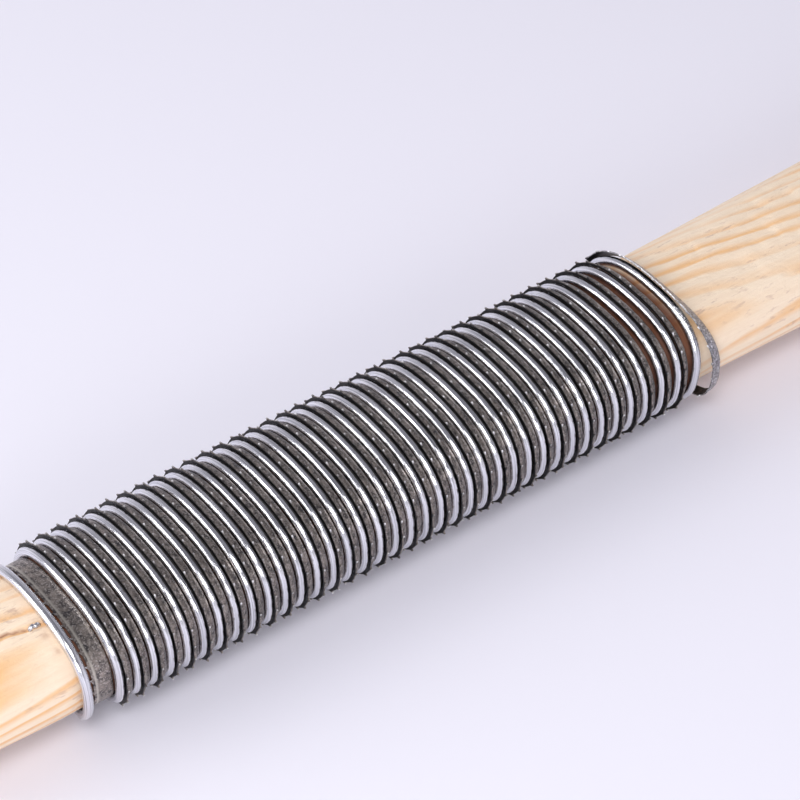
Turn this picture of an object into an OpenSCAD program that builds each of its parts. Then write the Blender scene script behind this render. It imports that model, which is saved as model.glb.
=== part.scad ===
// Wooden clay modeling tool: a flat-oval stick wound with round wire and a toothed strip.
// Millimetres. +X runs along the stick to the handle's butt, +Y across it and +Z up.
// The origin is under the middle of the tool, on the surface that the winding rests on.

/* [Stick] */
// Overall length of the stick
stick_len = 260; // [240:1:300]
// Width of the stick under the winding
core_w = 18.7; // [17:0.1:21]
// Thickness of the stick under the winding
core_t = 11.5; // [10:0.1:13]
// Squareness of the oval section, where 2 is an ellipse
squareness = 2.5; // [2:0.05:3]
// Width of the handle at its butt
butt_w = 24; // [23:0.5:28]
// Thickness of the handle at its butt
butt_t = 13; // [11:0.1:13.4]
// Radius of the rounded edge of the butt
butt_round = 2.5; // [1:0.1:4]
// Width of the blade where its rounded tip begins
blade_w = 14.5; // [12:0.5:18]
// Thickness of the blade at its tip
tip_t = 2.4; // [1.8:0.1:4]
// Length of the rounded tip
tip_round = 11; // [6:0.5:16]

/* [Winding] */
// Diameter of the round wire
wire_d = 1.2; // [1:0.05:1.3]
// Advance of the winding in one turn
pitch = 2.13; // [2.05:0.01:2.4]
// Evenly wound turns
even_turns = 34; // [28:1:36]
// Loosened turns at the handle end
loose_turns = 3; // [1:1:4]
// Extra room of a loosened turn over the top, as a share of the pitch
loose_share = 0.3; // [0:0.05:0.5]
// Distance from the middle of the tool to the first even turn
wrap_offset = 48.5; // [45:0.5:55]
// Slant of a turn: how far it runs along the stick for each millimetre across it
turn_slant = 0.066; // [0:0.002:0.08]
// How far the last turn runs ahead over the top
end_ahead = 0.4; // [0:0.1:0.6]

/* [Toothed strip] */
// Width of the strip's band, which leans against the wire
band_w = 1.15; // [1.1:0.05:1.25]
// Width of the strip's band where it lies flat, beside the first turn of the wire
flat_band_w = 2.1; // [1.6:0.1:2.4]
// Width of its toothed edge, which is bent up from the band
edge_w = 0.68; // [0.5:0.02:0.7]
// Thickness of the strip
strip_t = 0.16; // [0.12:0.01:0.18]
// Height of the strip's smooth edge above the wires' centre lines
foot_rise = 0.13; // [0.05:0.01:0.2]
// How much prouder the strip stands at both ends of the winding than in the middle
end_rise = 0.05; // [0:0.01:0.08]
// How much of the lowest teeth is worn flat where the tool rests on them
tip_wear = 0.016; // [0.012:0.002:0.03]
// Angle between the band and its toothed edge
edge_bend = 61.5; // [50:0.5:65]
// Lean of the strip's last turn over the top
tail_tilt = 43; // [35:1:45]
// Lean of the strip's last turn at the front
tail_lean = 12; // [0:1:20]
// Lift of the strip's last turn at the front
tail_lift = 0.82; // [0.3:0.02:0.9]
// Sideways opening of the strip's last turn at the front
tail_open = 1.75; // [1:0.05:2]

/* [Fixings] */
// Diameter of the small staple's wire
staple_d = 0.5; // [0.4:0.05:0.7]
// Length of the staple's crown
staple_crown = 1.6; // [1.3:0.1:2]
// Depth of the staple's legs in the wood
staple_leg = 3; // [2:0.1:4]
// Distance of the staple in front of the stick's centre line
staple_y = 2.9; // [0:0.1:5]
// Diameter of a tack's head
tack_head_d = 2.1; // [1.8:0.1:2.2]
// Diameter of a tack's shank
tack_shank_d = 0.8; // [0.6:0.05:1]
// Length of a tack's shank
tack_len = 4.5; // [3:0.1:5]
// Depth to which each end of the round wire is bent into the wood
wire_root = 3; // [2:0.1:4]

/* [Hidden] */

// Quality of the faceted sweeps and of the exact round parts
steps_per_turn = 20;
wire_sides = 6;
section_points = 40;
$fn = 48;

// Half sizes of the oval path on which the round wire's centre line lies
seat_gap = 0.1;
path_w = core_w / 2 + wire_d / 2 + seat_gap;
path_t = core_t / 2 + wire_d / 2 + seat_gap;

// From the strip's smooth edge to the next turn of the wire: wound, and laid flat
foot_gap = wire_d / 2 + 0.08;
flat_gap = wire_d / 2 + 0.12;
foot_room = pitch - foot_gap;
// Lean of the band, which just clears the wire that it leans over
band_gap = 0.01;
band_lean = asin((wire_d / 2 + strip_t / 2 + band_gap) / norm([foot_room, foot_rise]))
    - atan(foot_rise / foot_room);
// Level of the strip where it lies flat on the stick, below the wire's centre line
flat_level = strip_t / 2 - wire_d / 2;
// Room between the wire and the strip's straightened last turn
tail_shift = 0.35;

// Turns are counted at the top of the stick, and turn 0 is the first even one
first_turn = -1.5;
last_turn = even_turns + loose_turns + 0.5;
// Room beside the first turn, where the strip lies flat, and the stretches where it ends
start_room = 1.01;
room_start = -0.66;
room_end = -0.4;
lean_start = -0.64;
lean_end = -0.5;
// Turns after which the winding loosens, and the stretches of the last turn
loose_from = even_turns + 0.35;
ahead_start = last_turn - 1;
ahead_end = last_turn - 0.5;
back_start = last_turn - 0.45;
straight_start = last_turn - 0.9;
straight_end = last_turn - 0.6;
tail_start = last_turn - 0.49;
tail_front = last_turn - 0.2;
tail_down = last_turn - 0.2;
tail_end = last_turn - 0.03;

// Rings of the sweeps: none lies exactly underneath, so the winding has a flat to rest on
ring_count = (last_turn - first_turn) * steps_per_turn;
function ring_turn(k) = first_turn + (k + 0.5) / steps_per_turn;

// Bend of the wire where its ends turn into the wood
root_bend = 1.2;
bend_steps = 4;
notch_depth = 0.45;

// Sizes of the tack's head and point, and the play of what is let into the wood
tack_head_t = 0.45;
tack_edge_t = 0.18;
tack_crown_r = 0.32 * tack_head_d;
tack_crown_t = 0.9 * tack_head_t;
tack_point = 1.2;
play = 0.02;

// Centre radius of the staple's bends
staple_bend = 0.6 * staple_d;

// Stations of the stick
wrap_left = wire_x(first_turn) - wire_d;
wrap_right = turn_x(last_turn) + pitch + tail_shift + tail_open;
butt_x = stick_len / 2;
tip_x = -stick_len / 2;
tip_end = 84;
tip_edge_share = 0.35;
tip_steps = 6;
blade_steps = 7;
handle_steps = 4;
butt_steps = 5;

function mix(a, b, s) = a + (b - a) * s;

// Smooth step from 0 to 1 while n goes from one turn to another
function ramp(n, from, to) =
    let (s = min(1, max(0, (n - from) / (to - from)))) s * s * (3 - 2 * s);

function signed_power(v, p) = sign(v) * pow(abs(v), p);

// Point of an oval of half sizes w and t in the YZ plane, at an angle from +Y towards +Z
function oval(angle, w, t) =
    [w * signed_power(cos(angle), 2 / squareness), t * signed_power(sin(angle), 2 / squareness)];

// Position along the stick of the winding at turn n, and of the round wire, whose last turn
// runs ahead and then falls back
function turn_x(n) = pitch * (n - start_room * (1 - ramp(n, room_start, room_end))) - wrap_offset;
function wire_x(n) =
    turn_x(n) + end_ahead * (ramp(n, ahead_start, ahead_end) - ramp(n, back_start, last_turn));

// Room that the loosened turns take up to turn n, over the top only: they stay tight underneath
function slack(n) = pitch * loose_share * max(0, n - loose_from);

// Points of the winding at turn n, about the stick's axis. It goes over the top towards the
// front, so its angle grows with n
function winding_point(n, x) =
    let (p = oval(90 + 360 * n, path_w, path_t))
    [x + turn_slant * p[0] + slack(n) * (1 + p[1] / path_t) / 2, p[0], p[1]];
function wire_point(n) = winding_point(n, wire_x(n));
function strip_point(n) = winding_point(n, turn_x(n));

function unit(v) = v / norm(v);

// Frame of a sweep at ring i: [direction along the stick, direction away from the stick]
function sweep_frame(path, i) =
    let (
        along = unit(path[min(i + 1, len(path) - 1)] - path[max(i - 1, 0)]),
        side = unit([1, 0, 0] - along[0] * along)
    ) [side, cross(along, side)];

// Points of a sweep with one flat section per path point, [along the stick, outwards]
function sweep_points(path, sections) =
    [for (i = [0 : len(path) - 1])
        let (frame = sweep_frame(path, i))
        for (q = sections[i]) path[i] + frame[0] * q[0] + frame[1] * q[1]];

function tube_faces(rings, sides) = concat(
    [[for (j = [0 : sides - 1]) j]],
    [for (i = [0 : rings - 2]) for (j = [0 : sides - 1])
        let (a = i * sides + j, b = i * sides + (j + 1) % sides)
        each [[a, a + sides, b], [b, a + sides, b + sides]]],
    [[for (j = [sides - 1 : -1 : 0]) (rings - 1) * sides + j]]);

// Quarter bend that takes an end of the wire into the wood; out is -1 at the start, 1 at the end
function root_points(n, out) =
    let (p = wire_point(n), bend = [for (k = [1 : bend_steps]) 90 * k / bend_steps])
    concat(
        [for (a = bend) p + [0, out * root_bend * sin(a), root_bend * (1 - cos(a))]],
        [p + [0, out * root_bend, wire_root]]);

function reversed(list) = [for (i = [len(list) - 1 : -1 : 0]) list[i]];

// Stations of the stick: [x, half width, half thickness]
function handle_station(x) =
    let (s = (x - wrap_right) / (butt_x - wrap_right))
    [x, mix(core_w, butt_w, s) / 2, mix(core_t, butt_t, s) / 2];

function blade_station(x) =
    let (s = (wrap_left - x) / (wrap_left - tip_x), thin = s * s * (3 - 2 * s))
    [x, mix(core_w, blade_w, s) / 2, mix(core_t, tip_t, thin) / 2];

// The rounded tip ends in a small flat at the angle tip_end
function tip_station(angle) =
    let (st = blade_station(tip_x + tip_round * (1 - sin(angle) / sin(tip_end))))
    [st[0], st[1] * cos(angle), st[2] * mix(tip_edge_share, 1, cos(angle))];

function butt_station(angle) =
    let (st = handle_station(butt_x - butt_round * (1 - sin(angle))), inset = butt_round * (1 - cos(angle)))
    [st[0], st[1] - inset, st[2] - inset];

module stick_body() {
    stations = concat(
        [for (k = [tip_steps : -1 : 1]) tip_station(tip_end * k / tip_steps)],
        [for (k = [0 : blade_steps]) blade_station(mix(tip_x + tip_round, wrap_left, k / blade_steps))],
        [for (k = [0 : handle_steps])
            handle_station(mix(wrap_right, butt_x - butt_round, k / handle_steps))],
        [for (k = [1 : butt_steps]) butt_station(90 * k / butt_steps)]);
    points = [for (st = stations) for (k = [0 : section_points - 1])
        let (q = oval(-360 * k / section_points, st[1], st[2])) [st[0], q[0], q[1]]];
    polyhedron(points, tube_faces(len(stations), section_points), convexity = 4);
}

module pin_hole(x, y, d, depth) {
    translate([x, y, -core_t]) cylinder(d = d, h = core_t / 2 + depth);
}

// Narrow hole and notch for an end of the round wire, on the underside
module root_hole(n, out) {
    p = wire_point(n);
    pin_hole(p[0], out * root_bend, wire_d + 2 * play, wire_root - wire_d / 2);
    translate([p[0] - wire_d / 2 - play, min(0, out * root_bend), -core_t])
        cube([wire_d + 2 * play, root_bend, core_t / 2 + notch_depth]);
}

module wooden_stick() {
    color("burlywood") translate([0, 0, axis_z]) difference() {
        stick_body();
        root_hole(first_turn, -1);
        root_hole(last_turn, 1);
        pin_hole(strip_centre_x(first_turn), 0, tack_shank_d + 2 * play, tack_len);
        pin_hole(strip_centre_x(last_turn), 0, tack_shank_d + 2 * play, tack_len);
        for (x = staple_legs_x())
            translate([x, -staple_y, staple_top() - staple_leg - staple_d])
                cylinder(d = staple_d + 2 * play, h = 2 * staple_leg);
    }
}

module round_wire() {
    path = concat(
        reversed(root_points(first_turn, -1)),
        [wire_point(first_turn)],
        [for (k = [0 : ring_count - 1]) wire_point(ring_turn(k))],
        [wire_point(last_turn)],
        root_points(last_turn, 1));
    circle_points = [for (j = [0 : wire_sides - 1])
        let (a = -360 * j / wire_sides) wire_d / 2 * [cos(a), sin(a)]];
    color("silver") translate([0, 0, axis_z])
        polyhedron(sweep_points(path, [for (p = path) circle_points]),
            tube_faces(len(path), wire_sides), convexity = 10);
}

// Shares at turn n of the strip's first flat turn, and of its last turn: with a straight edge over
// the top, opened at the front and flat again where it ends
function flatness(n) = 1 - ramp(n, lean_start, lean_end);
function straightening(n) = ramp(n, straight_start, straight_end);
function opening(n) = ramp(n, tail_start, tail_front);
function closing(n) = ramp(n, tail_down, tail_end);

function strip_lean(n) =
    let (wound = mix(mix(band_lean, tail_tilt, straightening(n)), tail_lean, opening(n)))
    mix(wound, 0, max(flatness(n), closing(n)));

function band_width(n) =
    let (room = turn_x(n + 1) - turn_x(n) - 2 * flat_gap - edge_w)
    mix(band_w, min(flat_band_w, room), pow(flatness(n), 3));

// Extra height of turn n of the strip: none in the middle of the winding, most at both ends
function proud(n) = end_rise * pow((2 * n - first_turn - last_turn) / (last_turn - first_turn), 2);

// Smooth edge of the strip: [position along the stick, level above the wire's centre line]
function strip_foot(n) =
    let (
        wound = turn_x(n) + foot_room + tail_shift * straightening(n) + tail_open * opening(n),
        laid = turn_x(n + 1) - flat_gap,
        wound_low = foot_rise + proud(n) + tail_lift * opening(n),
        low = mix(wound_low, flat_level, closing(n))
    )
    [mix(wound, laid, flatness(n)), mix(low, flat_level, flatness(n))];

function strip_centre_x(n) = strip_foot(n)[0] - band_width(n) / 2 * cos(strip_lean(n));

// Offset to both faces of the strip at a lean
function half_thick(lean) = strip_t / 2 * [sin(lean), cos(lean)];

// The strip's section about its path at turn n: the band, and the edge that is bent up from it
function strip_section(n) =
    let (
        lean = strip_lean(n),
        tip_lean = lean + edge_bend * (1 - max(flatness(n), straightening(n))),
        foot = strip_foot(n) - [turn_x(n), 0],
        root = foot + band_width(n) * [-cos(lean), sin(lean)],
        tip = root + edge_w * [-cos(tip_lean), sin(tip_lean)],
        middle = half_thick((lean + tip_lean) / 2)
    )
    [foot + half_thick(lean), foot - half_thick(lean), root - middle,
     tip - half_thick(tip_lean), tip + half_thick(tip_lean), root + middle];

strip_turns = [for (k = [-1 : ring_count]) ring_turn(k)];
unworn_points = sweep_points([for (n = strip_turns) strip_point(n)],
    [for (n = strip_turns) strip_section(n)]);

// Height of the stick's axis: the worn tips of the teeth touch the surface below
axis_z = -min([for (p = unworn_points) p[2]]) - tip_wear;
strip_points = [for (p = unworn_points) [p[0], p[1], max(p[2], -axis_z)]];

module toothed_strip() {
    color("dimgray") translate([0, 0, axis_z]) difference() {
        polyhedron(strip_points, tube_faces(len(strip_turns), len(strip_section(0))), convexity = 10);
        for (n = [first_turn, last_turn])
            translate([strip_centre_x(n), 0, -axis_z])
                cylinder(d = tack_shank_d + 2 * play, h = axis_z);
    }
}

// The staple lies along the grain beside the first turn of the wire, on the top face
function staple_top() =
    core_t / 2 * pow(1 - pow(2 * staple_y / core_w, squareness), 1 / squareness);

function staple_legs_x() =
    let (right = wire_x(-1) - wire_d / 2 - staple_d)
    [right - staple_crown + staple_d, right];

module start_staple() {
    legs = staple_legs_x();
    z = staple_top() + staple_d / 2;
    color("gainsboro") translate([0, -staple_y, axis_z]) {
        translate([legs[0] + staple_bend, 0, z]) rotate([0, 90, 0])
            cylinder(d = staple_d, h = legs[1] - legs[0] - 2 * staple_bend);
        for (side = [0, 1]) {
            translate([legs[side], 0, z - staple_bend - staple_leg])
                cylinder(d = staple_d, h = staple_leg);
            translate([legs[side] + (1 - 2 * side) * staple_bend, 0, z - staple_bend])
                rotate([90, 0, 0]) rotate([0, 0, 90 * (1 - side)])
                    rotate_extrude(angle = 90) translate([staple_bend, 0]) circle(d = staple_d);
        }
    }
}

// A tack driven upwards through the strip, where the strip lies flat on the underside
module tack(n) {
    seat_z = axis_z - path_t - strip_foot(n)[1] - strip_t / 2;
    translate([strip_centre_x(n), 0, seat_z]) rotate_extrude() polygon([
        [0, -tack_head_t], [tack_crown_r, -tack_crown_t],
        [tack_head_d / 2, -tack_edge_t], [tack_head_d / 2, 0],
        [tack_shank_d / 2, 0], [tack_shank_d / 2, tack_len - tack_point], [0, tack_len]]);
}

module strip_start_tack() {
    color("gray") tack(first_turn);
}

module strip_end_tack() {
    color("gray") tack(last_turn);
}

wooden_stick();
round_wire();
toothed_strip();
start_staple();
strip_start_tack();
strip_end_tack();
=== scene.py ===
"""Looks of a wooden clay modeling tool: a stick wound with round wire and a toothed steel strip.

Lengths are millimetres about the stick's axis until a mesh is made, when place() turns them into
metres in the CAD frame. The winding's turns are counted at the top of the stick, from the first even
turn, and go over the top towards the front (-Y).
"""
import math
import random

import bpy
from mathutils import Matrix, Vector, noise


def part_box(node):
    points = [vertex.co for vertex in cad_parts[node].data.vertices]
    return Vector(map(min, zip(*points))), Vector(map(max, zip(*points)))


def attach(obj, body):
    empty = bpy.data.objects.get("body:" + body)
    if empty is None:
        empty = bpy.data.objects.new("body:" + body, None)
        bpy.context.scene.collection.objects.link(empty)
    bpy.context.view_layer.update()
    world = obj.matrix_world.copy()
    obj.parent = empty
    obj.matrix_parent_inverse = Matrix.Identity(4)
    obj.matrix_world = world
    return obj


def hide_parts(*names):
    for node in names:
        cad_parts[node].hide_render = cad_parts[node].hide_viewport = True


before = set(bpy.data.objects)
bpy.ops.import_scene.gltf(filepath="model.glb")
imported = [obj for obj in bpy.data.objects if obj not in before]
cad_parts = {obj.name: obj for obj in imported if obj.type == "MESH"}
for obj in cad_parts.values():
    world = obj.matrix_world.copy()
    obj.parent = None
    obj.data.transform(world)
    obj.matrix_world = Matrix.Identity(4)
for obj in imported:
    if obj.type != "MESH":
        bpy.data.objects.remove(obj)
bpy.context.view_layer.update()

MM = 0.001

# ---------------------------------------------------------------- driving dimensions
# These are the CAD's values, unless a comment says otherwise.
# Stick: its middle under the winding, its blade and its butt
CORE_W, CORE_T, SQUARENESS = 18.7, 11.5, 2.5
BLADE_W, TIP_T, TIP_ROUND, TIP_END, TIP_EDGE = 14.5, 2.4, 11.0, 84.0, 0.35
BUTT_ROUND = 2.5
# Round wire, its winding, and its ends that are bent into the wood
WIRE_D, PITCH, SEAT_GAP = 1.2, 2.13, 0.1
EVEN_TURNS, LOOSE_TURNS, LOOSE_SHARE = 34, 3, 0.3
TURN_SLANT, END_AHEAD, START_ROOM = 0.066, 0.4, 1.01
WIRE_ROOT, ROOT_BEND = 3.0, 1.2
ROOM_START, ROOM_END = -0.66, -0.4
FIRST_TURN = -1.5
LAST_TURN = EVEN_TURNS + LOOSE_TURNS + 0.5
LOOSE_FROM = EVEN_TURNS + 0.35
# Toothed strip: sizes of its section, and its lean, which the CAD works out from the gaps
BAND_W, FLAT_BAND_W, EDGE_W, STRIP_T = 1.15, 2.1, 0.68, 0.16
BAND_LEAN, EDGE_BEND = 23.2, 61.5
# Where its smooth edge lies beside the next turn of the wire: wound, and laid flat
FOOT_GAP, FOOT_RISE, FLAT_LEVEL = WIRE_D / 2 + 0.08, 0.13, STRIP_T / 2 - WIRE_D / 2
FLAT_GAP = WIRE_D / 2 + 0.12
# Its last turn, which over the top lies 0.2 nearer to the wire than in the CAD
TAIL_TILT, TAIL_LEAN, TAIL_LIFT, TAIL_OPEN, TAIL_SHIFT = 43.0, 12.0, 0.82, 1.95, 0.15
# Turns between which the flat first turn comes to lean, and between which the last one
# straightens, opens at the front and comes down to its end
LEAN_START, LEAN_END = -0.64, -0.5
STRAIGHT_START, STRAIGHT_END = LAST_TURN - 0.9, LAST_TURN - 0.6
TAIL_START, TAIL_FRONT = LAST_TURN - 0.49, LAST_TURN - 0.2
TAIL_DOWN, TAIL_END = LAST_TURN - 0.2, LAST_TURN - 0.03
# Staple and tacks
STAPLE_D, STAPLE_CROWN, STAPLE_LEG, STAPLE_Y = 0.5, 1.6, 3.0, 2.9
TACK_HEAD_D, TACK_HEAD_T, TACK_LEN = 2.1, 0.45, 4.5

# ---------------------------------------------------------------- places taken from the frame
stick_low, stick_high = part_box("wooden_stick")
AXIS_Z = (stick_low.z + stick_high.z) / 2 / MM
BUTT_W = (stick_high.y - stick_low.y) / MM
BUTT_T = (stick_high.z - stick_low.z) / MM
TIP_X, BUTT_X = stick_low.x / MM, stick_high.x / MM
PATH_W = CORE_W / 2 + WIRE_D / 2 + SEAT_GAP
PATH_T = CORE_T / 2 + WIRE_D / 2 + SEAT_GAP


# ---------------------------------------------------------------- shared geometry
def mix(a, b, s):
    return a + (b - a) * s


def ramp(n, start, end):
    """Smooth step from 0 to 1 while n goes from start to end."""
    s = min(1.0, max(0.0, (n - start) / (end - start)))
    return s * s * (3 - 2 * s)


def signed_power(v, p):
    return math.copysign(abs(v) ** p, v)


def oval(angle, w, t):
    """Point of the stick's oval, of half sizes w and t, at an angle in degrees from +Y towards +Z."""
    a = math.radians(angle)
    return (w * signed_power(math.cos(a), 2 / SQUARENESS),
            t * signed_power(math.sin(a), 2 / SQUARENESS))


def turn_advance(n):
    """How far turn n has come along the stick: the first turn stands apart from the rest."""
    return PITCH * (n - START_ROOM * (1 - ramp(n, ROOM_START, ROOM_END)))


def slack(n):
    """How far the loose turns at the end have slid, where they pass over the top."""
    return PITCH * LOOSE_SHARE * max(0.0, n - LOOSE_FROM)


# Hand winding, which the CAD doesn't have: greatest shifts along the stick, and for the wave its
# length in turns, a turn where it crosses zero and the turns over which it grows
EARLY_SHIFT, BACK_SHIFT, WAVE_SHIFT = -0.11, -0.09, 0.16
WAVE_TURNS, WAVE_CROSSING, WAVE_GROWS = 27, 9.5, 12


def unevenness(n):
    """Small shifts of the turns along the stick, because they were wound by hand."""
    early = EARLY_SHIFT * math.exp(-(n / 1.4) ** 2) if n > -0.5 else 0.0
    growth = min(1.0, max(0.0, n / WAVE_GROWS))
    wave = WAVE_SHIFT * growth * math.sin(2 * math.pi * (n - WAVE_CROSSING) / WAVE_TURNS)
    back = BACK_SHIFT * ramp(n, -0.6, -0.4) * (1 - ramp(n, 30, 34))
    return early + back + wave * (1 - ramp(n, 33, 36))


def winding_offset(n):
    """Point of the winding's path at turn n, where turn 0 is at x = 0 on the top."""
    y, z = oval(90 + 360 * n, PATH_W, PATH_T)
    x = turn_advance(n) + unevenness(n) + TURN_SLANT * y + slack(n) * (1 + z / PATH_T) / 2
    return Vector((x, y, z))


# The frame says where the winding lies: its lowest x is the left side of the first turn
leftmost = min(winding_offset(FIRST_TURN + k / 80).x for k in range(120))
WRAP_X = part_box("round_wire")[0].x / MM + WIRE_D / 2 - leftmost


def strip_point(n):
    return winding_offset(n) + Vector((WRAP_X, 0, 0))


def wire_point(n):
    """Point of the wire's path: on the strip's path, except that its last turn runs ahead of it."""
    ahead = ramp(n, LAST_TURN - 1, LAST_TURN - 0.5) - ramp(n, LAST_TURN - 0.45, LAST_TURN)
    return strip_point(n) + Vector((END_AHEAD * ahead, 0, 0))


WRAP_LEFT = WRAP_X + turn_advance(FIRST_TURN) - WIRE_D
WRAP_RIGHT = WRAP_X + turn_advance(LAST_TURN) + PITCH + TAIL_SHIFT + TAIL_OPEN
WIRE_LEFT = WRAP_X + turn_advance(-1)


ARC_STEPS = 2880


def arc_table():
    """Lengths along one turn of the winding's oval, from the top, at equal steps of turn."""
    points = [Vector(oval(90 + 360 * k / ARC_STEPS, PATH_W, PATH_T)) for k in range(ARC_STEPS + 1)]
    lengths = [0.0]
    for a, b in zip(points, points[1:]):
        lengths.append(lengths[-1] + (b - a).length)
    return lengths


ARC = arc_table()
TURN_LENGTH = ARC[-1]


def length_at(n):
    """Length along the winding from turn 0 to turn n."""
    whole = math.floor(n)
    at = (n - whole) * ARC_STEPS
    k = min(int(at), ARC_STEPS - 1)
    return whole * TURN_LENGTH + mix(ARC[k], ARC[k + 1], at - k)


def turn_at(length):
    """Turn at a length along the winding: the inverse of length_at."""
    whole = math.floor(length / TURN_LENGTH)
    rest = length - whole * TURN_LENGTH
    low, high = 0, ARC_STEPS
    while high - low > 1:
        middle = (low + high) // 2
        if ARC[middle] > rest:
            high = middle
        else:
            low = middle
    return whole + (low + (rest - ARC[low]) / (ARC[high] - ARC[low])) / ARC_STEPS


def cross_axes(along):
    """Directions across a direction of the winding: along the stick, and away from the stick."""
    side = (Vector((1, 0, 0)) - along.x * along).normalized()
    return side, along.cross(side)


def place(point):
    """Metres in the CAD frame from millimetres about the stick's axis."""
    return Vector((point[0], point[1], point[2] + AXIS_Z)) * MM


def make_piece(name, points, faces, nodes, sharp):
    """A mesh on the root body that stands for CAD nodes, smooth but for edges over sharp degrees."""
    mesh = bpy.data.meshes.new(name)
    mesh.from_pydata([place(p) for p in points], [], faces)
    mesh.polygons.foreach_set("use_smooth", [True] * len(mesh.polygons))
    mesh.set_sharp_from_angle(angle=math.radians(sharp))
    mesh.update()
    piece = bpy.data.objects.new(name, mesh)
    bpy.context.scene.collection.objects.link(piece)
    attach(piece, "root")
    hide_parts(*nodes)
    return piece


def tube_faces(rings, sides):
    """Faces of a closed tube, from the numbers of its rings and of the points in each."""
    faces = []
    for i in range(rings - 1):
        for j in range(sides):
            a, b = i * sides + j, i * sides + (j + 1) % sides
            faces.append((a, a + sides, b + sides, b))
    faces.append(tuple(range(sides)))
    faces.append(tuple((rings - 1) * sides + j for j in range(sides - 1, -1, -1)))
    return faces


def point_attribute(piece, name, values):
    """A number at each point of the mesh, which the piece's material reads by name."""
    layer = piece.data.attributes.new(name, "FLOAT", "POINT")
    layer.data.foreach_set("value", values)


# ---------------------------------------------------------------- wooden stick
SECTION_POINTS, TIP_RINGS, BUTT_RINGS = 176, 20, 12
# Steps between the rings along the stick, and the stretches beside the winding that have fine ones
FINE_STEP, COARSE_STEP = 0.4, 1.3
FINE_ZONES = ((WRAP_LEFT - 9, WRAP_LEFT + 3), (WRAP_RIGHT - 8, WRAP_RIGHT + 24))
HANDLE_CUTS, BLADE_CUTS = 70, 26


def handle_size(x):
    """Half width and half thickness of the handle at x."""
    s = (x - WRAP_RIGHT) / (BUTT_X - WRAP_RIGHT)
    return mix(CORE_W, BUTT_W, s) / 2, mix(CORE_T, BUTT_T, s) / 2


def blade_size(x):
    """Half width and half thickness of the blade at x."""
    s = (WRAP_LEFT - x) / (WRAP_LEFT - TIP_X)
    return mix(CORE_W, BLADE_W, s) / 2, mix(CORE_T, TIP_T, ramp(s, 0, 1)) / 2


def stick_stations():
    """Rings of the stick from the blade's tip to the butt: [x, half width, half thickness]."""
    stations = []
    for k in range(TIP_RINGS, 0, -1):
        a = math.radians(TIP_END * k / TIP_RINGS)
        x = TIP_X + TIP_ROUND * (1 - math.sin(a) / math.sin(math.radians(TIP_END)))
        w, t = blade_size(x)
        stations.append((x, w * math.cos(a), t * mix(TIP_EDGE, 1, math.cos(a))))
    x = TIP_X + TIP_ROUND
    while x < BUTT_X - BUTT_ROUND - 0.5:
        if x < WRAP_LEFT:
            w, t = blade_size(x)
        elif x > WRAP_RIGHT:
            w, t = handle_size(x)
        else:
            w, t = CORE_W / 2, CORE_T / 2
        stations.append((x, w, t))
        fine = any(start < x < end for start, end in FINE_ZONES)
        x += FINE_STEP if fine else COARSE_STEP
    for k in range(BUTT_RINGS + 1):
        a = math.radians(90 * k / BUTT_RINGS)
        x = BUTT_X - BUTT_ROUND * (1 - math.sin(a))
        w, t = handle_size(x)
        inset = BUTT_ROUND * (1 - math.cos(a))
        stations.append((x, w - inset, t - inset))
    return stations


def knife_marks():
    """Shallow cuts beyond the winding: [x, angle, half length, half width in degrees, depth]."""
    chance = random.Random(7)
    on_handle = ((WRAP_RIGHT + 1, BUTT_X - 8), (60, 122), (2.5, 6.0), (5, 11), (0.05, 0.16))
    on_blade = ((TIP_X + 14, WRAP_LEFT - 1), (55, 125), (2.0, 5.0), (4, 9), (0.04, 0.12))
    kinds = [on_handle] * HANDLE_CUTS + [on_blade] * BLADE_CUTS
    return [tuple(chance.uniform(low, high) for low, high in kind) for kind in kinds]


# Places of the staple's legs along the stick
STAPLE_RIGHT = strip_point(-1).x - WIRE_D / 2 - STAPLE_D
STAPLE_LEFT = STAPLE_RIGHT - STAPLE_CROWN + STAPLE_D
# The crack's heading and length, and the nick and the stains: x from the staple's far leg, y across
# the stick from its middle, and the stains' sizes
MARKED_FROM = WRAP_LEFT - 16
CRACK_HEADING, CRACK_LENGTH = (-13.0, 4.4), 11.0
NICK_X, NICK_Y = 0.3, -0.25
STAINS = ((0.9, -4.4, 0.5), (1.1, -6.5, 0.4), (-2.5, 2.2, 0.4))


def crack_distance(x, y):
    """Distance on the top face to the crack that starts at the staple's far leg."""
    along = Vector(CRACK_HEADING).normalized()
    rel = Vector((x, y)) - Vector((STAPLE_LEFT - STAPLE_D / 2, -STAPLE_Y))
    run = rel.dot(along)
    wander = 0.22 * math.sin(run * 1.1) + 0.1 * math.sin(run * 2.9 + 1)
    across = rel.cross(along) - wander
    beyond = max(0.0, -run, run - CRACK_LENGTH)
    return math.hypot(across, beyond * 1.5)


def spot(x, y, at_x, at_y, length, width):
    """1 in the middle of a spot on the wood, falling to 0 around it."""
    off = math.hypot((x - STAPLE_LEFT - at_x) / length, (y - at_y) / width)
    return math.exp(-off * off)


def wood_cut(x, angle, y, marks):
    """Depth of what is worn or cut away from the stick's nominal surface at a point."""
    depth = 0.035 * (1 + noise.noise(Vector((x * 0.12, angle * 0.05, 3.0))))
    for mark_x, mark_angle, length, width, deep in marks:
        run = (x - mark_x) / length
        if -1 < run < 1 and abs(angle - mark_angle) < width:
            across = (angle - mark_angle) / width
            bowl = max(0.0, 1 - across * across)
            slope = (1 + run) / 2 if run < 0.75 else (1 - run) * 3.5
            depth += deep * bowl * slope
    if angle < 180 and MARKED_FROM < x < WRAP_LEFT + 1:
        depth += 0.28 * math.exp(-(crack_distance(x, y) / 0.28) ** 2)
        depth += 0.3 * spot(x, y, NICK_X, NICK_Y, 0.7, 0.3)
    return depth


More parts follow.
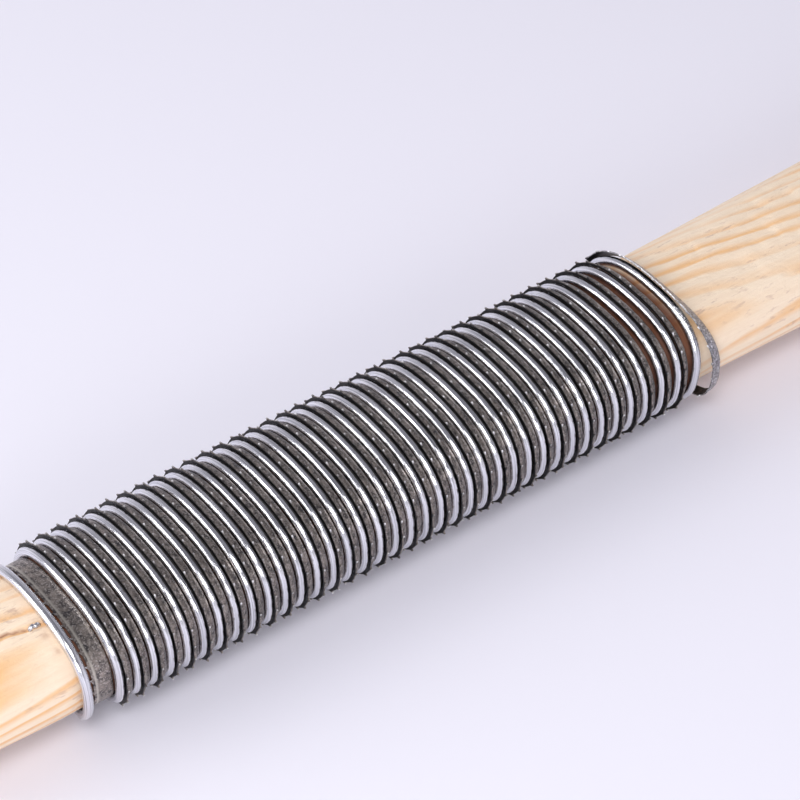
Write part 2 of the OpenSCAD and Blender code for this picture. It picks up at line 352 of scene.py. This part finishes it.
def darkness(x, angle, y):
    """Share of dark colour in the crack, nick and stains, and of painted shade beside the wire."""
    # The first term is painted shade on the wood just left of the wire's first turn; the rest are
    # real marks
    marks = [0.16 * math.exp(-((x - WIRE_LEFT + 0.6) / 1.1) ** 2)]
    if angle < 180 and MARKED_FROM < x < WRAP_LEFT + 2:
        marks.append(math.exp(-(crack_distance(x, y) / 0.2) ** 2))
        marks.append(spot(x, y, NICK_X, NICK_Y, 0.6, 0.25))
        marks += [0.5 * spot(x, y, stain_x, stain_y, size, size) for stain_x, stain_y, size in STAINS]
    return max(marks)


def build_stick():
    stations = stick_stations()
    marks = knife_marks()
    points, dark, shaded = [], [], []
    shade_end = wire_point(LAST_TURN - 0.4).x - 0.4
    for x, w, t in stations:
        near = [mark for mark in marks if abs(mark[0] - x) < mark[2]]
        wound = WRAP_LEFT + 1.5 < x < WRAP_RIGHT - 6
        # Painted shade: the wood under the winding is darkened, where the turns keep the light off it
        shade = ramp(x, WIRE_LEFT - 0.4, WIRE_LEFT + 0.4) * (1 - ramp(x, shade_end, shade_end + 0.8))
        for k in range(SECTION_POINTS):
            angle = 360 * k / SECTION_POINTS
            y, z = oval(angle, w, t)
            cut = 0.06 if wound else wood_cut(x, angle, y, near)
            cut *= min(1.0, t / 3)
            shrink = 1 - cut / max(math.hypot(y, z), 0.5)
            points.append((x, y * shrink, z * shrink))
            dark.append(darkness(x, angle, y))
            shaded.append(shade)
    faces = tube_faces(len(stations), SECTION_POINTS)
    stick = make_piece("whittled_stick", points, faces, ["wooden_stick"], sharp=50)
    point_attribute(stick, "marks_and_wire_shade", dark)
    point_attribute(stick, "painted_wrap_shade", shaded)
    return stick


# ---------------------------------------------------------------- round wire
WIRE_SIDES = 14
WIRE_STEP = 0.72
WIRE_WOBBLE = 0.025
# Steps round a quarter bend, here and in the staple
BEND_STEPS = 6


def root_points(n, out):
    """Quarter bend that takes an end of the wire into the wood on the underside."""
    start = wire_point(n)
    bend = [math.radians(90 * k / BEND_STEPS) for k in range(1, BEND_STEPS + 1)]
    points = [start + Vector((0, out * ROOT_BEND * math.sin(a), ROOT_BEND * (1 - math.cos(a))))
              for a in bend]
    return points + [start + Vector((0, out * ROOT_BEND, WIRE_ROOT))]


def scuff(n):
    """Damage of the wire at turn n: a heavy scuff and a light one, just past its last top."""
    last_top = LAST_TURN - 0.5
    heavy, light = last_top + 0.085, last_top + 0.135
    return math.exp(-((n - heavy) / 0.022) ** 2) + 0.4 * math.exp(-((n - light) / 0.03) ** 2)


def unroll(wire):
    """UV coordinates on the wire: centimetres along it, and the share of the way round it."""
    uv = wire.data.uv_layers.new(name="along_wire")
    for polygon in wire.data.polygons:
        corners = [wire.data.loops[k].vertex_index for k in polygon.loop_indices]
        places = [v % WIRE_SIDES for v in corners]
        over_seam = max(places) == WIRE_SIDES - 1 and min(places) == 0
        for loop, v, around in zip(polygon.loop_indices, corners, places):
            if over_seam and around == 0:
                around = WIRE_SIDES
            uv.data[loop].uv = (v // WIRE_SIDES * WIRE_STEP / 10, around / WIRE_SIDES)


def build_wire():
    first, last = length_at(FIRST_TURN), length_at(LAST_TURN)
    count = round((last - first) / WIRE_STEP)
    turns = [turn_at(mix(first, last, k / count)) for k in range(count + 1)]
    root = root_points(FIRST_TURN, -1)[::-1]
    path = root + [wire_point(n) for n in turns] + root_points(LAST_TURN, 1)
    radius = WIRE_D / 2
    points, scratched = [], []
    for i, p in enumerate(path):
        along = (path[min(i + 1, len(path) - 1)] - path[max(i - 1, 0)]).normalized()
        side, out = cross_axes(along)
        shift = WIRE_WOBBLE * noise.noise(Vector((i * 0.05, 0, 0)))
        damage = scuff(turns[min(max(i - len(root), 0), count)])
        for j in range(WIRE_SIDES):
            a = -2 * math.pi * (j + 0.5) / WIRE_SIDES - math.pi / 2
            points.append(p + side * (radius * math.cos(a) + shift) + out * radius * math.sin(a))
            scratched.append(min(1.0, damage * max(0.0, 0.6 + math.cos(a))))
    wire = make_piece("wound_wire", points, tube_faces(len(path), WIRE_SIDES), ["round_wire"],
                      sharp=60)
    point_attribute(wire, "scratched", scratched)
    unroll(wire)
    return wire


# ---------------------------------------------------------------- toothed strip
TOOTH_PITCH = 1.9
# Solid part of the bent edge, below the gaps between the teeth
FLANGE_W = 0.33
# Small step of turn that gives the path's direction
TURN_STEP = 0.004
# Outline of one tooth: share of the pitch, height as a share of the tooth's length
TOOTH_OUTLINE = [(0.0, 0.0), (0.27, -0.03), (0.52, 0.0), (0.56, 0.3), (0.58, 0.85), (0.61, 1.0),
                 (0.655, 0.8), (0.73, 0.38), (0.86, 0.08)]
TOOTH_HOOK, TOOTH_TWIST = -0.07, 0.05
# Lengths of whole and broken teeth as shares of the room for them, and how bright the glint painted
# on each tip is
WHOLE_TOOTH, BROKEN_TOOTH, BROKEN_SHARE = (0.8, 0.98), (0.3, 0.7), 0.05
TIP_GLINT = (0.35, 1.0)
STRIP_WOBBLE = 0.025
# How far the strip runs on beyond its tacks
STRIP_PAST = 1.6
# Place in the strip's section of the point on the outside of its bend
BEND_POINT = 3


def flatness(n):
    """Share at turn n of the strip's first turn, which lies flat."""
    return 1 - ramp(n, LEAN_START, LEAN_END)


def straightening(n):
    """Share at turn n of the last turn, with a straight edge."""
    return ramp(n, STRAIGHT_START, STRAIGHT_END)


def opening(n):
    """Share at turn n of the last turn's front, which stands off the wood."""
    return ramp(n, TAIL_START, TAIL_FRONT)


def closing(n):
    """Share at turn n of the strip's end, which lies flat again."""
    return ramp(n, TAIL_DOWN, TAIL_END)


def strip_lean(n):
    """Angle of the band to the stick, in degrees."""
    wound = mix(mix(BAND_LEAN, TAIL_TILT, straightening(n)), TAIL_LEAN, opening(n))
    return mix(wound, 0, max(flatness(n), closing(n)))


def room_at(n):
    """Distance along the stick from turn n to the next."""
    return turn_advance(n + 1) - turn_advance(n)


def band_width(n):
    """Width of the band, without its bent edge; it widens where there is room to lie flat."""
    flat = min(FLAT_BAND_W, room_at(n) - 2 * FLAT_GAP - EDGE_W)
    return mix(BAND_W, flat, flatness(n) ** 3)


def strip_foot(n):
    """Smooth edge of the strip, from its path: [along the stick, away from it]."""
    wound = PITCH - FOOT_GAP + TAIL_SHIFT * straightening(n) + TAIL_OPEN * opening(n)
    laid = room_at(n) - FLAT_GAP
    low = mix(FOOT_RISE + TAIL_LIFT * opening(n), FLAT_LEVEL, closing(n))
    return Vector((mix(wound, laid, flatness(n)), mix(low, FLAT_LEVEL, flatness(n))))


def strip_section(n, tooth):
    """Points round the strip's section: [point, share of the tooth, share of painted shade on the
    inner side].
    """
    lean = math.radians(strip_lean(n))
    edge_lean = lean + math.radians(EDGE_BEND * (1 - max(flatness(n), straightening(n))))
    foot = strip_foot(n)
    band = band_width(n)
    across = Vector((-math.cos(lean), math.sin(lean)))
    normal = Vector((math.sin(lean), math.cos(lean)))
    rise = Vector((-math.cos(edge_lean), math.sin(edge_lean)))
    edge_normal = Vector((math.sin(edge_lean), math.cos(edge_lean)))
    root = foot + band * across
    flange = root + FLANGE_W * rise
    tip = flange + tooth * rise
    half = STRIP_T / 2
    crown = foot + band * 0.5 * across
    edge = foot + band * 0.08 * across
    bend_normal = (normal + edge_normal).normalized()
    bulge = 0.03
    return [(foot, 0, 0), (edge + normal * half, 0, 0), (crown + normal * (half + bulge), 0, 0),
            (root + bend_normal * half, 0, 0), (flange + edge_normal * half, 0, 0),
            (tip + edge_normal * half, 1, 0), (tip - edge_normal * half, 1, 0.3),
            (flange - edge_normal * half, 0, 1), (root - bend_normal * half, 0, 1),
            (crown - normal * half, 0, 1), (edge - normal * half, 0, 1)]


def build_strip():
    chance = random.Random(11)
    first, last = length_at(FIRST_TURN) - STRIP_PAST, length_at(LAST_TURN) + STRIP_PAST
    points, tip_glint_share, side_shade_share, tail_share, bend_highlight_share = [], [], [], [], []
    rings = 0
    for tooth in range(int((last - first) / TOOTH_PITCH)):
        kind = WHOLE_TOOTH if chance.random() > BROKEN_SHARE else BROKEN_TOOTH
        size = chance.uniform(*kind)
        twist = chance.uniform(-TOOTH_TWIST, TOOTH_TWIST)
        glint = chance.uniform(*TIP_GLINT)
        for share, height in TOOTH_OUTLINE:
            length = first + (tooth + share) * TOOTH_PITCH
            n = turn_at(length)
            along = (strip_point(n + TURN_STEP) - strip_point(n - TURN_STEP)).normalized()
            side, out = cross_axes(along)
            base = strip_point(n)
            reach = max(0.015, height * size * (EDGE_W - FLANGE_W))
            wobble = STRIP_WOBBLE * noise.noise(Vector((length * 0.15, 5.0, 0)))
            for k, ((v, u), on_tooth, inner) in enumerate(strip_section(n, reach)):
                hook = (TOOTH_HOOK * height + twist) * on_tooth
                points.append(base + side * (v + wobble) + out * (u + wobble) + along * hook)
                # Painted glint: each tooth's tip is made brighter
                tip_glint_share.append(on_tooth * max(0.0, height) * glint)
                # Painted highlight along the bend of the flat first turn
                bend_highlight_share.append(flatness(n) if k == BEND_POINT else 0.0)
                # Painted shade on the strip's inner side
                side_shade_share.append(inner)
                tail_share.append(straightening(n))
            rings += 1
    sides = len(strip_section(0, 0.1))
    strip = make_piece("toothed_band", points, tube_faces(rings, sides), ["toothed_strip"],
                       sharp=38)
    point_attribute(strip, "painted_tip_glint", tip_glint_share)
    point_attribute(strip, "painted_side_shade", side_shade_share)
    point_attribute(strip, "bare_tail", tail_share)
    point_attribute(strip, "painted_bend_highlight", bend_highlight_share)
    return strip


# ---------------------------------------------------------------- staple and tacks
# Dip and pinch in the middle of the staple's crown, and how deep its bends are sunk
CROWN_DIP, CROWN_PINCH, STAPLE_SUNK = 0.13, 0.12, 0.08
LEG_STEPS, CROWN_STEPS, STAPLE_SIDES = 8, 12, 12
# Radius and height of the tack's rings, from the middle of its head to its point
TACK_PROFILE = [(0.02, 0.0), (0.4, 0.015), (0.75, 0.06), (0.98, 0.2), (TACK_HEAD_D / 2, 0.3),
                (TACK_HEAD_D / 2, 0.4), (0.95, TACK_HEAD_T), (0.5, TACK_HEAD_T), (0.41, 0.52),
                (0.38, 2.5), (0.34, 3.6), (0.2, 4.5), (0.03, TACK_HEAD_T + TACK_LEN)]
TACK_SIDES = 28


def tube(path, radius, sides):
    """Rings round a list of points; radius is a function of the share of the way along it."""
    points = []
    for i, p in enumerate(path):
        along = (path[min(i + 1, len(path) - 1)] - path[max(i - 1, 0)]).normalized()
        side = along.cross(Vector((0, 1, 0))).normalized()
        other = along.cross(side)
        r = radius(i / (len(path) - 1))
        points += [p + r * (math.cos(a) * side + math.sin(a) * other)
                   for a in (2 * math.pi * j / sides for j in range(sides))]
    return points, tube_faces(len(path), sides)


def build_staple():
    """A small bent steel staple, half sunk: its crown dips in the middle, so that two lobes show."""
    top = CORE_T / 2 * (1 - (2 * STAPLE_Y / CORE_W) ** SQUARENESS) ** (1 / SQUARENESS)
    left, right = STAPLE_LEFT, STAPLE_RIGHT
    bend = STAPLE_D * 0.6
    path = [Vector((left, 0, -STAPLE_LEG * (1 - k / LEG_STEPS))) for k in range(LEG_STEPS)]
    path += [Vector((left + bend * (1 - math.cos(a)), 0, bend * math.sin(a)))
             for a in (math.radians(90 * k / BEND_STEPS) for k in range(BEND_STEPS))]
    for k in range(CROWN_STEPS + 1):
        s = k / CROWN_STEPS
        dip = CROWN_DIP * math.exp(-((s - 0.48) / 0.17) ** 2)
        path.append(Vector((mix(left + bend, right - bend, s), 0.1 * math.sin(s * 6), bend - dip)))
    path += [Vector((right - bend * (1 - math.cos(a)), 0, bend * math.sin(a)))
             for a in (math.radians(90 - 90 * k / BEND_STEPS) for k in range(1, BEND_STEPS + 1))]
    path += [Vector((right, 0, -STAPLE_LEG * k / LEG_STEPS)) for k in range(1, LEG_STEPS + 1)]

    def radius(s):
        return STAPLE_D / 2 * (1 - CROWN_PINCH * math.exp(-((s - 0.5) / 0.05) ** 2))

    points, faces = tube(path, radius, STAPLE_SIDES)
    lift = Vector((0, -STAPLE_Y, top - STAPLE_SUNK))
    return make_piece("bent_staple", [p + lift for p in points], faces, ["start_staple"],
                      sharp=60)


def build_tack(name, node):
    """A cut tack with a slightly domed, hammered head, driven upwards through the strip."""
    low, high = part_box(node)
    x = (low.x + high.x) / 2 / MM
    bottom = low.z / MM - AXIS_Z
    points = []
    for radius, height in TACK_PROFILE:
        for j in range(TACK_SIDES):
            a = -2 * math.pi * j / TACK_SIDES
            square = 1 - 0.1 * math.cos(4 * a) if height > TACK_HEAD_T else 1.0
            dent = 0.02 * noise.noise(Vector((3 * math.cos(a), 3 * math.sin(a), x + radius)))
            points.append(Vector((x + radius * square * math.cos(a), radius * square * math.sin(a),
                                  bottom + height + max(0.0, dent))))
    faces = tube_faces(len(TACK_PROFILE), TACK_SIDES)
    return make_piece(name, points, faces, [node], sharp=40)


# ---------------------------------------------------------------- materials
def srgb(r, g, b):
    """Linear colour from 0-255 display values."""
    def linear(c):
        c /= 255
        return c / 12.92 if c <= 0.04045 else ((c + 0.055) / 1.055) ** 2.4
    return (linear(r), linear(g), linear(b), 1.0)


class Graph:
    """Short calls for building a material's nodes."""

    def __init__(self, tree):
        self.tree = tree

    def node(self, kind, **settings):
        made = self.tree.nodes.new(kind)
        for key, value in settings.items():
            setattr(made, key, value)
        return made

    def link(self, source, socket):
        if isinstance(source, (int, float, tuple)):
            socket.default_value = source
        else:
            self.tree.links.new(source, socket)

    def math(self, operation, a, b=0.0):
        made = self.node("ShaderNodeMath", operation=operation)
        self.link(a, made.inputs[0])
        self.link(b, made.inputs[1])
        return made.outputs[0]

    def noise(self, vector, scale, detail, roughness=0.5, distortion=0.0):
        made = self.node("ShaderNodeTexNoise")
        self.link(vector, made.inputs["Vector"])
        made.inputs["Scale"].default_value = scale
        made.inputs["Detail"].default_value = detail
        made.inputs["Roughness"].default_value = roughness
        made.inputs["Distortion"].default_value = distortion
        return made.outputs["Fac"]

    def stretch(self, vector, scale):
        made = self.node("ShaderNodeMapping")
        self.link(vector, made.inputs["Vector"])
        made.inputs["Scale"].default_value = scale
        return made.outputs["Vector"]

    def ramp(self, value, *stops):
        """Colour ramp through stops of [position, colour or grey level]."""
        made = self.node("ShaderNodeValToRGB")
        elements = made.color_ramp.elements
        while len(elements) < len(stops):
            elements.new(0.5)
        for element, (position, colour) in zip(elements, stops):
            element.position = position
            element.color = colour if isinstance(colour, tuple) else (colour, colour, colour, 1)
        self.link(value, made.inputs["Fac"])
        return made.outputs["Color"]

    def blend(self, factor, a, b):
        """Mix of two colours; a Mix node's sockets for colours are 6 and 7, and 2 for its result."""
        made = self.node("ShaderNodeMix", data_type="RGBA")
        self.link(factor, made.inputs[0])
        self.link(a, made.inputs[6])
        self.link(b, made.inputs[7])
        return made.outputs[2]

    def bump(self, height, distance, strength, normal=None):
        made = self.node("ShaderNodeBump")
        made.inputs["Strength"].default_value = strength
        made.inputs["Distance"].default_value = distance
        self.link(height, made.inputs["Height"])
        if normal is not None:
            self.link(normal, made.inputs["Normal"])
        return made.outputs["Normal"]

    def attribute(self, name):
        return self.node("ShaderNodeAttribute", attribute_name=name).outputs["Fac"]


def new_material(name):
    material = bpy.data.materials.new(name)
    material.use_nodes = True
    graph = Graph(material.node_tree)
    shader = material.node_tree.nodes["Principled BSDF"]
    return material, graph, shader


RINGS_PER_METRE = 860.0


def pine():
    """Bare softwood: pale earlywood, orange growth rings that run out on the top, fine grain."""
    material, g, shader = new_material("bare_pine")
    place_node = g.node("ShaderNodeTexCoord").outputs["Object"]
    parts = g.node("ShaderNodeSeparateXYZ")
    g.link(place_node, parts.inputs[0])
    x, y, z = parts.outputs
    slow = g.noise(g.stretch(place_node, (14, 60, 60)), 1.0, 2.0)
    sway = g.math("MULTIPLY", g.math("SUBTRACT", slow, 0.5), 0.0034)
    quick = g.noise(g.stretch(place_node, (55, 330, 330)), 1.0, 3.0)
    sway = g.math("ADD", sway, g.math("MULTIPLY", g.math("SUBTRACT", quick, 0.5), 0.0011))
    # Distance from the tree's centre, which lies below the stick and is not parallel to it
    across = g.math("SUBTRACT", 0.018, y)
    deep = g.math("ADD", g.math("ADD", z, g.math("MULTIPLY", x, -0.11)), 0.022)
    radius = g.math("SQRT", g.math("ADD", g.math("MULTIPLY", across, across),
                                   g.math("MULTIPLY", deep, deep)))
    rings = g.math("FRACT", g.math("MULTIPLY", g.math("ADD", radius, sway), RINGS_PER_METRE))
    latewood = g.ramp(rings, (0.0, 0.05), (0.4, 0.1), (0.8, 1.0), (0.9, 0.8), (1.0, 0.05))
    strength = g.noise(g.stretch(place_node, (30, 200, 200)), 1.0, 2.0)
    latewood = g.math("MULTIPLY", latewood, g.ramp(strength, (0.32, 0.25), (0.62, 1.0)))
    fibre = g.noise(g.stretch(place_node, (120, 3600, 3600)), 1.0, 4.0, 0.65)
    patch = g.noise(g.stretch(place_node, (90, 260, 260)), 1.0, 3.0, 0.6)
    cream = g.blend(patch, srgb(250, 236, 216), srgb(245, 224, 198))
    colour = g.blend(g.math("MULTIPLY", latewood, 0.9), cream, srgb(240, 188, 128))
    grain = g.ramp(fibre, (0.25, 0.0), (0.75, 1.0))
    colour = g.blend(g.math("MULTIPLY", g.math("SUBTRACT", 1.0, grain), 0.2), colour,
                     srgb(210, 164, 122))
    torn_zone = g.noise(g.stretch(place_node, (60, 240, 240)), 1.0, 2.0)
    torn_zone = g.ramp(torn_zone, (0.45, 0.0), (0.6, 1.0))
    specks = g.noise(g.stretch(place_node, (520, 1900, 1900)), 1.0, 3.0, 0.6)
    specks = g.ramp(specks, (0.57, 0.0), (0.68, 1.0))
    torn_specks = g.math("MULTIPLY", specks, torn_zone)
    colour = g.blend(g.math("MULTIPLY", torn_specks, 0.5), colour, srgb(186, 152, 138))
    # The real crack, nick and stains, and painted shade beside the wire's first turn
    colour = g.blend(g.math("MULTIPLY", g.attribute("marks_and_wire_shade"), 0.85), colour, srgb(150, 84, 40))
    # Painted shade on the wood under the winding
    colour = g.blend(g.math("MULTIPLY", g.attribute("painted_wrap_shade"), 0.9), colour, srgb(104, 46, 22))
    g.link(colour, shader.inputs["Base Color"])
    shader.inputs["Roughness"].default_value = 0.62
    shader.inputs["Specular IOR Level"].default_value = 0.3
    torn = g.noise(g.stretch(place_node, (420, 900, 900)), 1.0, 5.0, 0.6, 0.6)
    normal = g.bump(fibre, 0.00006, 0.7)
    normal = g.bump(torn, 0.00018, 0.8, normal)
    g.link(normal, shader.inputs["Normal"])
    return material


def bright_wire():
    """Bright drawn steel: mirror-like, with fine draw marks along its length."""
    material, g, shader = new_material("bright_drawn_steel")
    along = g.node("ShaderNodeUVMap", uv_map="along_wire").outputs["UV"]
    marks = g.noise(g.stretch(along, (0.9, 26, 1)), 1.0, 4.0, 0.6)
    broad = g.noise(g.stretch(along, (0.35, 7, 1)), 1.0, 2.0)
    colour = g.blend(g.ramp(marks, (0.3, 0.0), (0.6, 1.0)), srgb(176, 177, 184), srgb(240, 240, 244))
    place_node = g.node("ShaderNodeTexCoord").outputs["Object"]
    scratched = g.attribute("scratched")
    pits = g.ramp(g.noise(place_node, 2600.0, 3.0, 0.7), (0.42, 0.0), (0.55, 1.0))
    colour = g.blend(g.math("MULTIPLY", scratched, g.math("SUBTRACT", 1.0, pits)), colour,
                     srgb(70, 70, 74))
    g.link(colour, shader.inputs["Base Color"])
    shader.inputs["Metallic"].default_value = 1.0
    rough = g.ramp(broad, (0.3, 0.10), (0.7, 0.2))
    g.link(g.math("ADD", rough, g.math("MULTIPLY", scratched, 0.25)), shader.inputs["Roughness"])
    normal = g.bump(marks, 0.00004, 0.7)
    normal = g.bump(broad, 0.00006, 0.4, normal)
    normal = g.bump(g.math("MULTIPLY", scratched, pits), 0.00012, 1.0, normal)
    g.link(normal, shader.inputs["Normal"])
    return material


def dark_strip():
    """Dark speckled oxidised steel, bare on its loose end, with painted tip glints, bend highlight
    and side shade.
    """
    material, g, shader = new_material("dark_speckled_steel")
    place_node = g.node("ShaderNodeTexCoord").outputs["Object"]
    fine = g.noise(place_node, 5200.0, 3.0, 0.6)
    cloudy = g.noise(place_node, 1300.0, 3.0, 0.65)
    colour = g.blend(g.ramp(cloudy, (0.34, 0.0), (0.66, 1.0)), srgb(84, 80, 80), srgb(170, 159, 150))
    dots = g.ramp(fine, (0.54, 0.0), (0.64, 1.0))
    colour = g.blend(g.math("MULTIPLY", dots, 0.75), colour, srgb(208, 200, 194))
    tail = g.attribute("bare_tail")
    zinc = g.ramp(g.noise(place_node, 3200.0, 4.0, 0.75), (0.34, srgb(92, 90, 92)),
                  (0.55, srgb(170, 168, 172)), (0.68, srgb(240, 240, 244)))
    colour = g.blend(tail, colour, zinc)
    # Painted shade: the strip's inner side is made near black
    hidden = g.attribute("painted_side_shade")
    colour = g.blend(g.math("MULTIPLY", hidden, 0.97), colour, srgb(16, 15, 15))
    # Painted highlight: a pale line along the bend of the flat first turn
    worn = g.ramp(g.attribute("painted_bend_highlight"), (0.72, 0.0), (0.92, 1.0))
    colour = g.blend(g.math("MULTIPLY", worn, 0.8), colour, srgb(206, 200, 188))
    # Painted glint on the teeth's tips, which are also made less metallic
    tip = g.ramp(g.attribute("painted_tip_glint"), (0.3, 0.0), (0.9, 1.0))
    colour = g.blend(tip, colour, srgb(240, 238, 240))
    g.link(colour, shader.inputs["Base Color"])
    g.link(g.ramp(tip, (0.0, 0.9), (1.0, 0.25)), shader.inputs["Metallic"])
    g.link(g.ramp(fine, (0.2, 0.45), (0.8, 0.32)), shader.inputs["Roughness"])
    g.link(g.bump(fine, 0.00003, 0.7), shader.inputs["Normal"])
    return material


def fixing_steel():
    """Dull steel with bright hammer scuffs."""
    material, g, shader = new_material("scuffed_steel")
    place_node = g.node("ShaderNodeTexCoord").outputs["Object"]
    scuffs = g.noise(place_node, 2600.0, 4.0, 0.6)
    colour = g.blend(scuffs, srgb(150, 150, 156), srgb(236, 236, 242))
    g.link(colour, shader.inputs["Base Color"])
    shader.inputs["Metallic"].default_value = 1.0
    g.link(g.ramp(scuffs, (0.3, 0.45), (0.7, 0.22)), shader.inputs["Roughness"])
    g.link(g.bump(scuffs, 0.00005, 0.6), shader.inputs["Normal"])
    return material


# ---------------------------------------------------------------- stage, light and camera
PALE = srgb(238, 236, 246)
# Middle of what the camera sees, which the lights point at too
VIEW_MIDDLE = Vector((WRAP_X + 33.58, 0, 0))
VIEW_AZIMUTH, VIEW_ELEVATION = -37.4, 42.0
VIEW_BACK, VIEW_RIGHT, VIEW_UP = 377.87, 8.68, 10.39
LENS = 152.3


def build_floor():
    size = 0.9
    mesh = bpy.data.meshes.new("floor")
    mesh.from_pydata([(-size, -size, 0), (size, -size, 0), (size, size, 0), (-size, size, 0)], [],
                     [(0, 1, 2, 3)])
    floor = bpy.data.objects.new("floor", mesh)
    bpy.context.scene.collection.objects.link(floor)
    material, g, shader = new_material("pale_floor")
    shader.inputs["Base Color"].default_value = PALE
    shader.inputs["Roughness"].default_value = 0.7
    shader.inputs["Specular IOR Level"].default_value = 0.2
    mesh.materials.append(material)


def area_light(name, direction, distance, size, power, target):
    """Rectangular light, in metres and watts, in a direction and at a distance from its target."""
    data = bpy.data.lights.new(name, "AREA")
    data.shape = "RECTANGLE"
    data.size, data.size_y = size
    data.energy = power
    light = bpy.data.objects.new(name, data)
    bpy.context.scene.collection.objects.link(light)
    towards = Vector(direction).normalized()
    light.location = target + towards * distance
    light.rotation_euler = towards.to_track_quat("Z", "Y").to_euler()


def build_world():
    """Soft surroundings: as pale as the floor up to the horizon, and darker overhead."""
    world = bpy.data.worlds.new("studio")
    bpy.context.scene.world = world
    world.use_nodes = True
    g = Graph(world.node_tree)
    background = world.node_tree.nodes["Background"]
    parts = g.node("ShaderNodeSeparateXYZ")
    g.link(g.node("ShaderNodeTexCoord").outputs["Generated"], parts.inputs[0])
    height = g.math("ADD", g.math("MULTIPLY", parts.outputs[2], 0.5), 0.5)
    colour = g.ramp(height, (0.0, PALE), (0.5, PALE), (0.62, srgb(206, 204, 214)),
                    (0.75, srgb(170, 169, 178)), (1.0, srgb(130, 130, 138)))
    g.link(colour, background.inputs["Color"])
    background.inputs["Strength"].default_value = 1.0


def build_camera():
    """The camera looks down on the winding from the front left."""
    azimuth, elevation = math.radians(VIEW_AZIMUTH), math.radians(VIEW_ELEVATION)
    level = math.cos(elevation)
    back = Vector((math.sin(azimuth) * level, -math.cos(azimuth) * level, math.sin(elevation)))
    right = Vector((math.cos(azimuth), math.sin(azimuth), 0))
    up = back.cross(right)
    data = bpy.data.cameras.new("camera")
    data.sensor_width = 36
    data.lens = LENS
    data.clip_start = 0.01
    camera = bpy.data.objects.new("camera", data)
    bpy.context.scene.collection.objects.link(camera)
    camera.location = place(VIEW_MIDDLE + back * VIEW_BACK + right * VIEW_RIGHT + up * VIEW_UP)
    camera.rotation_euler = back.to_track_quat("Z", "Y").to_euler()
    bpy.context.scene.camera = camera


def build_light():
    target = place(VIEW_MIDDLE)
    area_light("front_softbox", (-0.45, -0.39, 0.80), 0.7, (0.32, 0.32), 2.2, target)
    area_light("left_softbox", (-0.78, 0.42, 0.46), 0.8, (0.62, 0.5), 4.0, target)
    area_light("front_window", (-0.52, -0.76, 0.40), 0.8, (0.5, 0.22), 1.8, target)


build_camera()
build_floor()
build_world()
build_light()

stick = build_stick()
stick.data.materials.append(pine())
wire = build_wire()
wire.data.materials.append(bright_wire())
strip = build_strip()
strip.data.materials.append(dark_strip())
steel = fixing_steel()
for fixing in (build_staple(), build_tack("start_tack", "strip_start_tack"),
               build_tack("end_tack", "strip_end_tack")):
    fixing.data.materials.append(steel)

bpy.context.scene.view_settings.view_transform = "Standard"
